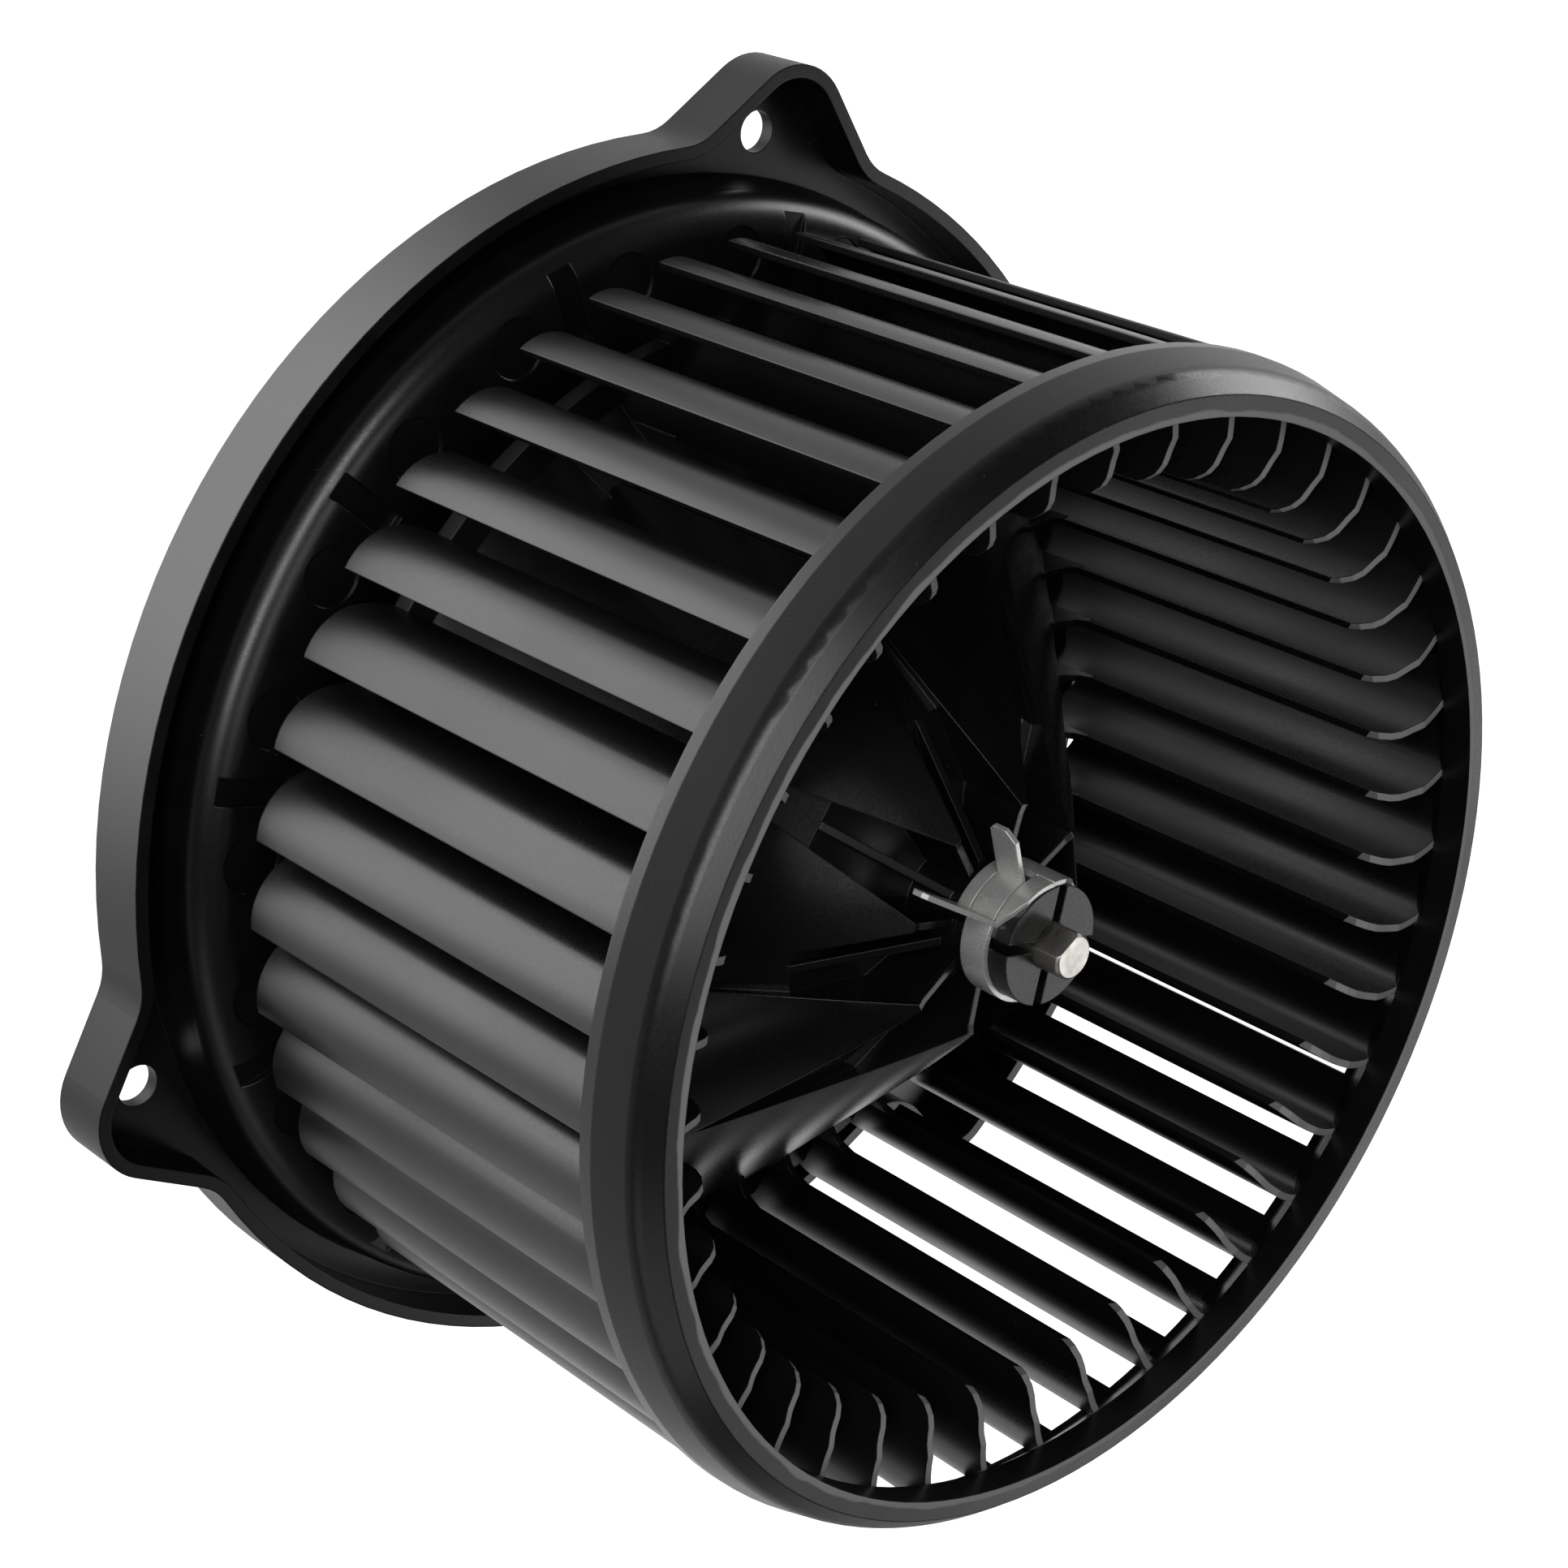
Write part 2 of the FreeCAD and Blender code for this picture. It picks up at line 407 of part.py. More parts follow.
def make_can():
    shell = revolve([(CAN_R, CAN_BOTTOM), (CAN_R, CAN_TOP - 2.0), (CAN_R - 2.0, CAN_TOP),
                     (HOUSING_R, CAN_TOP), (HOUSING_R, HOUSING_TOP), (SHAFT_R + 1.2, HOUSING_TOP),
                     (SHAFT_R + 1.2, HOUSING_TOP - PLATE), (HOUSING_IN, HOUSING_TOP - PLATE),
                     (HOUSING_IN, CAN_TOP - PLATE),
                     (CAN_IN - 1.0, CAN_TOP - PLATE), (CAN_IN, CAN_TOP - PLATE - 1.0), (CAN_IN, CAN_BOTTOM)])
    vents = [turned(box(CAN_IN - 3, CAN_R + 1, -4, 4, -39.0, -30.0), a) for a in VENT_ANGLES]
    vents += around(box(14, 20, -4, 4, CAN_TOP - 3, CAN_TOP + 1), 4, 45.0)
    exit_slot = box(CAN_IN - 3, CAN_R + 1, -LEAD_Y - 2, LEAD_Y + 2,
                    CAN_BOTTOM - 1, LEAD_LOW_Z + 2.5)
    shell = shell.cut(fused(vents + [turned(exit_slot, LOBE_ANGLE)]))
    # tabs pass through the end cap's notches and fold in under it
    seat = CAN_BOTTOM - PLATE
    tab = sector(CAN_R, CAN_IN, seat - TAB_FOLD_T, CAN_BOTTOM + 0.5, TAB_SPAN, 0.0)
    tab = tab.fuse(sector(CAN_R, TAB_FOLD_R, seat - TAB_FOLD_T, seat, TAB_SPAN, 0.0))
    return fused([shell] + around(tab, CAN_TABS, TAB_PHASE))


def make_end_cap():
    cap = revolve([(CAN_R, CAN_BOTTOM), (CAN_R, CAN_BOTTOM - PLATE), (HOUSING_R, CAN_BOTTOM - PLATE),
                   (HOUSING_R, CAP_BOSS_BOTTOM), (0, CAP_BOSS_BOTTOM), (0, CAP_BOSS_BOTTOM + PLATE),
                   (HOUSING_IN, CAP_BOSS_BOTTOM + PLATE), (HOUSING_IN, CAN_BOTTOM)])
    notch = sector(CAN_R + 1, CAN_IN, CAN_BOTTOM - PLATE - 1, CAN_BOTTOM + 1, TAB_SPAN, 0.0)
    holes = around(cyl(2.5, -50, -40, V(16.5, 0, 0)), 6, 30.0)
    return cap.cut(fused(holes + around(notch, CAN_TABS, TAB_PHASE)))


def make_bearing(span):
    z0, z1 = span
    return revolve([(BEARING_R - 0.8, z0), (BEARING_R, z0 + 0.8), (BEARING_R, z1 - 0.8),
                    (BEARING_R - 0.8, z1), (SHAFT_R + RUNNING_GAP, z1), (SHAFT_R + RUNNING_GAP, z0)])


def make_retainer(seat_z, bearing_z, side):
    """Dished spring washer: outer edge on the sheet at seat_z, inner edge on the bearing."""
    t = side * RETAINER_T
    return revolve([(RETAINER_IN, bearing_z), (6.4, bearing_z), (6.9, seat_z), (RETAINER_R, seat_z),
                    (RETAINER_R, seat_z + t), (6.5, seat_z + t), (6.0, bearing_z + t),
                    (RETAINER_IN, bearing_z + t)])


def sector(r_out, r_in, z0, z1, span, centre):
    wedge = Part.makeCylinder(r_out, z1 - z0, V(0, 0, z0), UP, span).cut(cyl(r_in, z0 - 1, z1 + 1))
    return turned(wedge, centre - span / 2)


def make_magnet_clip(angle):
    span = 180.0 - MAGNET_ARC - 4.0
    z0, z1 = MAGNET_Z0 + 3, MAGNET_Z1 - 3
    web = sector(CAN_IN, CAN_IN - CLIP_T, z0, z1, span, 0)
    leg = box(MAGNET_IN + 1.5, CAN_IN - 0.3, -CLIP_T / 2, CLIP_T / 2, z0, z1)
    legs = [turned(leg, s * (span / 2 - 1.0)) for s in (-1, 1)]
    return turned(fused([web] + legs), angle)


def make_brush_card():
    card = tube(CARD_R, CARD_HOLE, CAN_BOTTOM, CAN_BOTTOM + CARD_T)
    notch = box(25.5, 30, -LEAD_Y - 2, LEAD_Y + 2, CAN_BOTTOM - 1, CAN_BOTTOM + 3)
    holes = around(cyl(1.6, -45, -38, V(24.5, 0, 0)), 4, 20.0)
    return card.cut(fused(holes + [turned(notch, LOBE_ANGLE)]))


CARD_TOP = CAN_BOTTOM + CARD_T


def make_brush_holder(angle):
    w, h = BRUSH_W / 2 + BOX_GAP, BRUSH_H / 2 + BOX_GAP
    outer = box(BOX_IN, BOX_OUT, -w - BOX_T, w + BOX_T, BRUSH_Z - h - BOX_T, BRUSH_Z + h + BOX_T)
    tunnel = box(BOX_IN - 1, BOX_OUT - BOX_T, -w, w, BRUSH_Z - h, BRUSH_Z + h)
    slot = box(BOX_IN + 2, BOX_OUT - BOX_T, -0.9, 0.9, BRUSH_Z, BRUSH_Z + h + 2)
    legs = [box(14.5, 22, s * (w + BOX_T / 2) - BOX_T / 2, s * (w + BOX_T / 2) + BOX_T / 2,
                CARD_TOP, BRUSH_Z - h - BOX_T + 0.4) for s in (-1, 1)]
    return turned(fused([outer] + legs).cut(tunnel).cut(slot), angle)


def make_brush(angle):
    h = BRUSH_H / 2
    block = box(BRUSH_IN - 1, BRUSH_OUT, -BRUSH_W / 2, BRUSH_W / 2, BRUSH_Z - h, BRUSH_Z + h)
    return turned(block.cut(cyl(BRUSH_IN, -60, 0)), angle)


def make_brush_spring(angle):
    wire_r, coil_r = 0.3, 2.0
    length = BOX_OUT - BOX_T - BRUSH_OUT - 2 * wire_r - 0.1
    helix = Part.makeHelix(length / 3.0, length, coil_r)
    start = V(coil_r, 0, 0)
    profile = Part.Wire(Part.makeCircle(wire_r, start, V(0, 1, 0)))
    coil = Part.Wire(helix).makePipeShell([profile], True, True)
    coil.rotate(O, V(0, 1, 0), 90)
    coil.translate(V(BRUSH_OUT + wire_r + 0.05, 0, BRUSH_Z))
    return turned(coil, angle)


def make_pigtail(angle):
    top = BRUSH_Z + BRUSH_H / 2
    pts = [V(18.0, 0, top), V(18.0, 0, -27.3), V(25.7, 0, -27.3), V(25.7, 0, CARD_TOP)]
    return turned(wire_run(pts, 0.5), angle)


def make_choke(angle):
    place = at(20.5, angle)
    rod = cyl(1.8, CARD_TOP, -29.5, place)
    coil = cyl(3.3, CARD_TOP + 1.2, -30.5, place).cut(cyl(1.8, -50, -20, place))
    for z in (-38.0, -36.6, -35.2, -33.8, -32.4):
        groove = cyl(4, z, z + 0.3, place).cut(cyl(3.05, z - 1, z + 1, place))
        coil = coil.cut(groove)
    return rod, coil


def make_cover():
    cup = cyl(COVER_R, COVER_BOTTOM, COVER_TOP).cut(cyl(COVER_IN, COVER_BOTTOM + COVER_T, COVER_TOP + 1))
    boss_bottom = SLEEVE_BOTTOM + 4
    tab = cyl(BOSS_R, boss_bottom - TAB_T, boss_bottom, V(BOSS_C, 0, 0))
    tab = tab.fuse(box(COVER_IN + 0.3, BOSS_C, -BOSS_R, BOSS_R, boss_bottom - TAB_T, boss_bottom))
    cup = fused([cup] + around(tab.cut(cyl(SLEEVE_OUT + 0.2, -60, 0)), 3, 30.0))
    vent = box(29.0, 34.0, -3, 3, COVER_BOTTOM - 1, COVER_BOTTOM + COVER_T + 1)
    holes = around(vent, 8, 15.0) + around(cyl(SCREW_R + 0.1, -60, -20, V(BOSS_C, 0, 0)), 3, 30.0)
    head_room = cyl(3.4, COVER_BOTTOM - 1, boss_bottom - TAB_T, V(BOSS_C, 0, 0))
    return cup.cut(fused(holes + around(head_room, 3, 30.0)))


def make_screw(angle):
    seat = SLEEVE_BOTTOM + 4 - TAB_T
    head = cyl(3.0, seat - 2.2, seat).fuse(cyl(SCREW_R, seat, SLEEVE_BOTTOM + 13))
    recess = box(-1.7, 1.7, -0.35, 0.35, seat - 3, seat - 1.0)
    screw = head.cut(recess.fuse(turned(recess, 90)))
    screw.translate(V(BOSS_C, 0, 0))
    return turned(screw, angle)


def make_isolator_top():
    """Rubber ring between the can's shoulder and the sleeve's lip, with air grooves outside."""
    ring = revolve([(CAN_R, 11.0), (SLEEVE_IN, 11.0), (SLEEVE_IN, SLEEVE_TOP - LIP_T),
                    (26.5, SLEEVE_TOP - LIP_T), (26.5, CAN_TOP), (CAN_R, CAN_TOP)])
    groove = box(CAN_R + 1.8, SLEEVE_IN + 1, -4, 4, 10.0, SLEEVE_TOP)
    return ring.cut(fused(around(groove, ISOLATOR_NOTCHES, 30.0)))


def make_isolator_bottom():
    """Rubber ring between the end cap and the cover, castellated below to let air through."""
    floor = COVER_BOTTOM + COVER_T
    ring = tube(25.8, 20.5, floor, CAN_BOTTOM - PLATE)
    notch = box(20, 27, -4, 4, floor - 1, CAN_BOTTOM - PLATE - 3.0)
    return ring.cut(fused(around(notch, ISOLATOR_NOTCHES)))


# ---- motor: turning parts ----------------------------------------------------------------

def slot_prism(inset, z0, z1):
    """One winding slot of the armature; inset leaves room for the slot paper."""
    pts = [(9.5 + inset, -1.1 + inset), (19.6 - inset, -3.4 + inset), (19.6 - inset, 3.4 - inset),
           (9.5 + inset, 1.1 - inset)]
    face = Part.Face(Part.makePolygon([V(x, y, z0) for x, y in pts + [pts[0]]]))
    return face.extrude(V(0, 0, z1 - z0))


def slotted_disc(r, r_in, z0, z1):
    disc = tube(r, r_in, z0, z1)
    mouth = box(19.0, r + 1, -0.9, 0.9, z0 - 1, z1 + 1)
    slot = slot_prism(0.0, z0 - 1, z1 + 1).fuse(mouth)
    return disc.cut(fused(around(slot, TEETH)))


def coil_bundle(z, side):
    """Overlapping end turns, shown as a rounded bundle with a fold at each tooth."""
    far = z + side * COIL_H
    near_far = far - side * COIL_ROUND
    ring = revolve([(COIL_IN, z), (COIL_OUT, z), (COIL_OUT, near_far), (COIL_OUT - COIL_ROUND, far),
                    (COIL_IN + COIL_ROUND, far), (COIL_IN, near_far)])
    fold = box(COIL_OUT - 2.5, COIL_OUT + 1, -0.5, 0.5, min(z, far) - 1, max(z, far) + 1)
    return ring.cut(fused(around(fold, TEETH, 180.0 / TEETH)))


def make_windings():
    z_lo, z_hi = CORE_Z0 - INSULATOR_T, CORE_Z1 + INSULATOR_T
    bars = around(slot_prism(0.35, z_lo - 0.5, z_hi + 0.5), TEETH)
    return fused([coil_bundle(z_hi, 1), coil_bundle(z_lo, -1)] + bars)


def make_commutator():
    bars = tube(COMM_R, COMM_IN, COMM_Z0, COMM_Z1).fuse(tube(11.4, COMM_R - 0.5, COMM_Z1 - 0.9, COMM_Z1))
    gaps = around(box(COMM_IN - 1, 13, -0.3, 0.3, COMM_Z0 - 1, COMM_Z1 + 1), TEETH, 15.0)
    return bars.cut(fused(gaps))


# ---- connector and leads -----------------------------------------------------------------

def terminal_blade(y):
    z1 = -FLOOR_T - PLUG_ROOF / 2
    return box(PLUG_C - TERMINAL_T / 2, PLUG_C + TERMINAL_T / 2, y - TERMINAL_W / 2, y + TERMINAL_W / 2,
               z1 - TERMINAL_L, z1)


def make_connector():
    x0, x1 = PLUG_C - PLUG_D / 2, PLUG_C + PLUG_D / 2
    z1, z0 = -FLOOR_T, -FLOOR_T - PLUG_H
    body = box(x0, x1, -PLUG_W / 2, PLUG_W / 2, z0, z1)
    half = PLUG_W / 2 - PLUG_T
    body = body.cut(box(x0 + PLUG_T, x1 - PLUG_T, -half, half, z0 - 1, z1 - PLUG_ROOF))
    latch = box(x1, x1 + 1.6, -3, 3, z0 + 4, z0 + 7)
    hooks = [box(x1 - HOOK_T, x1, s * HOOK_Y - 1.5, s * HOOK_Y + 1.5, z1, HOOK_TOP) for s in (-1, 1)]
    hooks += [box(x1 - HOOK_T, x1 + HOOK_T * 0.6, s * HOOK_Y - 1.5, s * HOOK_Y + 1.5, 0.0, HOOK_TOP)
              for s in (-1, 1)]
    key = box(x0 + PLUG_T - 0.1, x0 + PLUG_T + 1.2, -1, 1, z0 + 1, z1 - PLUG_ROOF + 0.1)
    body = fused([body, latch, key] + hooks)
    return turned(body.cut(fused([terminal_blade(y) for y in (-TERMINAL_Y, TERMINAL_Y)])), LOBE_ANGLE)


def make_lead(y):
    """From the brush card out of the can, up the cooling gap and out to the connector."""
    pts = [V(24.0, y, LEAD_LOW_Z), V(LEAD_GAP_R, y, LEAD_LOW_Z), V(LEAD_GAP_R, y, LEAD_Z),
           V(PLUG_C - PLUG_D / 2, y, LEAD_Z)]
    run = wire_run(pts, LEAD_R)
    foot = cyl(LEAD_R * 0.6, CARD_TOP, LEAD_LOW_Z, pts[0]).fuse(Part.makeSphere(LEAD_R, pts[0]))
    return turned(run.fuse(foot), LOBE_ANGLE)


def main():
    save("blower_wheel", make_wheel())
    save("hub_spring_clamp", make_clamp())
    save("shaft", make_shaft())
    save("mounting_flange", make_flange())
    save("cooling_duct", make_cooling_duct())

    save("motor_can", make_can())
    save("end_cap", make_end_cap())
    save("front_bearing", make_bearing(FRONT_BEARING))
    save("rear_bearing", make_bearing(REAR_BEARING))
    save("front_bearing_retainer", make_retainer(CAN_TOP - PLATE, FRONT_BEARING[0], -1))
    save("rear_bearing_retainer", make_retainer(CAN_BOTTOM, REAR_BEARING[1], 1))
    save("magnet_north", sector(CAN_IN, MAGNET_IN, MAGNET_Z0, MAGNET_Z1, MAGNET_ARC, 90))
    save("magnet_south", sector(CAN_IN, MAGNET_IN, MAGNET_Z0, MAGNET_Z1, MAGNET_ARC, 270))
    save("brush_card", make_brush_card())
    for side, angle in SIDES:
        save("magnet_clip_" + side, make_magnet_clip(angle))
        save("brush_holder_" + side, make_brush_holder(angle))
        save("brush_" + side, make_brush(angle))
        save("brush_spring_" + side, make_brush_spring(angle))
        save("pigtail_" + side, make_pigtail(angle))
        rod, coil = make_choke(angle + 60)
        save("choke_core_" + side, rod)
        save("choke_coil_" + side, coil)
    save("capacitor", turned(box(19, 22, -4.5, 4.5, CARD_TOP, -33.0), 120))
    save("motor_cover", make_cover())
    for i in range(3):
        save("cover_screw_%d" % (i + 1), make_screw(30 + 120 * i))
    save("isolator_top", make_isolator_top())
    save("isolator_bottom", make_isolator_bottom())

    save("armature_core", slotted_disc(CORE_R, SHAFT_R, CORE_Z0, CORE_Z1))
    save("armature_windings", make_windings())
    neck_top = FRONT_BEARING[0] - WASHER_T - 0.05
    save("insulator_front", slotted_disc(20.4, SHAFT_R, CORE_Z1, CORE_Z1 + INSULATOR_T)
         .fuse(tube(4.6, SHAFT_R, CORE_Z1, neck_top)))
    save("insulator_rear", slotted_disc(20.4, SHAFT_R, CORE_Z0 - INSULATOR_T, CORE_Z0)
         .fuse(tube(4.6, SHAFT_R, COMM_Z1, CORE_Z0)))
    save("commutator_bars", make_commutator())
    hub_bottom = REAR_BEARING[1] + WASHER_T + 0.05
    save("commutator_hub", tube(COMM_IN, SHAFT_R, COMM_Z0, COMM_Z1)
         .fuse(tube(4.6, SHAFT_R, hub_bottom, COMM_Z0)))
    save("thrust_washer_front", tube(WASHER_R, SHAFT_R, neck_top, neck_top + WASHER_T))
    save("thrust_washer_rear", tube(WASHER_R, SHAFT_R, hub_bottom - WASHER_T, hub_bottom))

    save("connector_housing", make_connector())
    for name, y in (("positive", TERMINAL_Y), ("negative", -TERMINAL_Y)):
        save("terminal_" + name, turned(terminal_blade(y), LOBE_ANGLE))
        save("lead_" + name, make_lead(math.copysign(LEAD_Y, y)))


main()
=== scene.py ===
import math

import bpy
from mathutils import Matrix, Vector


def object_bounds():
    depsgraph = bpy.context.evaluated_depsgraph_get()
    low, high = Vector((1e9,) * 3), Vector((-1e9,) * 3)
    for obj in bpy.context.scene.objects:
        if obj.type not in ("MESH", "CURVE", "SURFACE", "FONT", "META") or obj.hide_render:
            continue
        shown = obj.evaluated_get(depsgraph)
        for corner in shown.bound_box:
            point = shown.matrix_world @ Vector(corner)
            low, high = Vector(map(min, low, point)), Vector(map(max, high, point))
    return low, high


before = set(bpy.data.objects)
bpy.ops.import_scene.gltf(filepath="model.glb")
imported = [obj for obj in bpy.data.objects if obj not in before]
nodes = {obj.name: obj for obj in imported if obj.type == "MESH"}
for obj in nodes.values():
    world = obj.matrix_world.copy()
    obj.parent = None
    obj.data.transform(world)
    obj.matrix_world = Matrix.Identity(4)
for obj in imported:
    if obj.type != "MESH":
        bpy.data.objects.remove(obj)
cad_low, cad_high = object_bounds()
MM = 0.001
FLOOR_Z = cad_low.z - 0.1 * MM
FLOOR_HALF = 6.0              # metres
ROOM_LIGHT = 0.04

# ---- camera --------------------------------------------------------------------------------------
CAMERA_PLACE = Vector((-51.659, 314.950, 309.825)) * MM
CAMERA_RIGHT = Vector((0.52656233, -0.51441158, 0.67684034))
CAMERA_UP = Vector((0.84008548, 0.43691582, -0.32149799))
LENS, SENSOR = 73.7725, 36.0

# floor, in millimetres from the shaft: its glow close to the object, kept dim there as painted shade in place
# of the object's shadow, around it and far off, and a brighter spot in front, a painted pool of light
PAINTED_SHADOW_CLOSE, GLOW_AROUND, GLOW_FAR = (120.0, 0.20), (215.0, 0.75), (360.0, 0.22)
SPOT_PLACE, SPOT_FADE, SPOT_GLOW = (-15.0, 195.0), (65.0, 165.0), 3.0
# softboxes: azimuth and elevation seen from the wheel, then distance, width and height in metres,
# and radiance
SOFTBOXES = {
    "front_box": (97.0, 35.0, 0.80, 0.74, 0.16, 6.0),
    "top_box": (98.0, 68.0, 0.80, 0.60, 0.20, 1.5),
    "left_box": (185.0, 20.0, 0.90, 0.60, 0.30, 0.5),
    "right_box": (-18.0, 5.0, 0.80, 0.36, 0.24, 4.2),
    "back_box": (-76.0, 33.0, 1.00, 0.80, 0.30, 1.6),
}
BOX_AIM_Z = 30.0 * MM         # height at which the softboxes point

# ---- plastic, millimetres ------------------------------------------------------------------
WHEEL_BLACK, FLANGE_BLACK = (0.0035, 0.0035, 0.0036), (0.0032, 0.0033, 0.0035)
# the lighter grey below is painted light for the upward-facing blade ends and ring lip; the darker grey is
# dust
PAINTED_LIT_GREY, DUST_GREY = (0.24, 0.24, 0.236), (0.12, 0.12, 0.115)
WHEEL_GLOSS, FLANGE_GLOSS = (0.27, 0.37), (0.28, 0.37)     # lowest and highest roughness
HUB_EDGE, HUB_POLISH = (56.0, 62.0), -0.05
RING_LIP_R, MATT_LIT_ENDS_R, MATT_LIT_ENDS_Z = (70.0, 69.7), (57.5, 58.0), (79.0, 80.0)
WAVE_DEEP, GRAIN_DEEP = 0.16, 0.005


def add_camera():
    data = bpy.data.cameras.new("camera")
    data.lens, data.sensor_width = LENS, SENSOR
    data.clip_start, data.clip_end = 0.01, 20.0
    cam = bpy.data.objects.new("camera", data)
    bpy.context.scene.collection.objects.link(cam)
    back = CAMERA_RIGHT.cross(CAMERA_UP)
    rows = Matrix((CAMERA_RIGHT, CAMERA_UP, back)).transposed().to_4x4()
    cam.matrix_world = Matrix.Translation(CAMERA_PLACE) @ rows
    bpy.context.scene.camera = cam


# ---- light ---------------------------------------------------------------------------------------
def direction(azimuth, elevation):
    a, e = math.radians(azimuth), math.radians(elevation)
    return Vector((math.cos(a) * math.cos(e), math.sin(a) * math.cos(e), math.sin(e)))


def softbox(name, azimuth, elevation, distance, width, height, radiance):
    """A rectangular lamp that faces the wheel from the given direction, in part axes."""
    data = bpy.data.lights.new(name, "AREA")
    data.shape, data.size, data.size_y = "RECTANGLE", width, height
    data.energy = radiance * 4.0 * width * height
    lamp = bpy.data.objects.new(name, data)
    bpy.context.scene.collection.objects.link(lamp)
    way = direction(azimuth, elevation)
    lamp.location = way * distance + Vector((0, 0, BOX_AIM_Z))
    lamp.rotation_mode = "QUATERNION"
    lamp.rotation_quaternion = way.to_track_quat("Z", "Y")
    lamp.visible_camera = False


def add_world():
    """Faint light from all round, behind a backdrop that shows plain white."""
    world = bpy.data.worlds.new("room")
    bpy.context.scene.world = world
    world.use_nodes = True
    tree = world.node_tree
    back = tree.nodes["Background"]
    back.inputs["Color"].default_value = (1.0, 1.0, 1.0, 1.0)
    level = tree.nodes.new("ShaderNodeMapRange")
    seen = tree.nodes.new("ShaderNodeLightPath").outputs["Is Camera Ray"]
    tree.links.new(seen, level.inputs["Value"])
    level.inputs["To Min"].default_value = ROOM_LIGHT
    level.inputs["To Max"].default_value = 1.0
    tree.links.new(level.outputs[0], back.inputs["Strength"])


def add_floor():
    """White floor. It shows plain white; what the black plastic mirrors of it is a painted glow, dim close to
    the object as painted shade in place of its shadow, brighter around it, dim far off, with a painted pool
    of light in front. It is clear from below, so the underside can be seen."""
    mesh = bpy.data.meshes.new("floor")
    half = FLOOR_HALF
    corners = [(x, y, FLOOR_Z) for x, y in ((-half, -half), (half, -half), (half, half), (-half, half))]
    mesh.from_pydata(corners, [], [(0, 1, 2, 3)])
    floor = bpy.data.objects.new("floor", mesh)
    bpy.context.scene.collection.objects.link(floor)
    s = Sheet("floor_white")
    s.set(Base_Color=(0.8, 0.8, 0.8), Roughness=0.9, Emission_Color=(1.0, 1.0, 1.0))
    away = s.distance((0.0, 0.0))
    (r0, close), (r1, around), (r2, far) = PAINTED_SHADOW_CLOSE, GLOW_AROUND, GLOW_FAR
    # the low glow close to the object is painted shade, standing in for the object's shadow on the floor
    glow_with_painted_shadow = s.ramp(away, r0, r1, close, around, smooth=True)
    glow_with_painted_shadow = s.math("ADD", glow_with_painted_shadow, s.ramp(away, r1, r2, 0.0, far - around, smooth=True))
    # painted pool of light on the floor in front of the wheel
    spot = s.ramp(s.distance(SPOT_PLACE), *SPOT_FADE, SPOT_GLOW, 0.0, smooth=True)
    seen = s.node("ShaderNodeLightPath").outputs["Is Camera Ray"]
    glow = s.math("ADD", glow_with_painted_shadow, spot)
    s.feed(s.shader.inputs["Emission Strength"], s.ramp(seen, 0.0, 1.0, glow, 1.0))
    below = s.node("ShaderNodeNewGeometry").outputs["Backfacing"]
    s.feed(s.shader.inputs["Alpha"], s.math("SUBTRACT", 1.0, below))
    mesh.materials.append(s.mat)


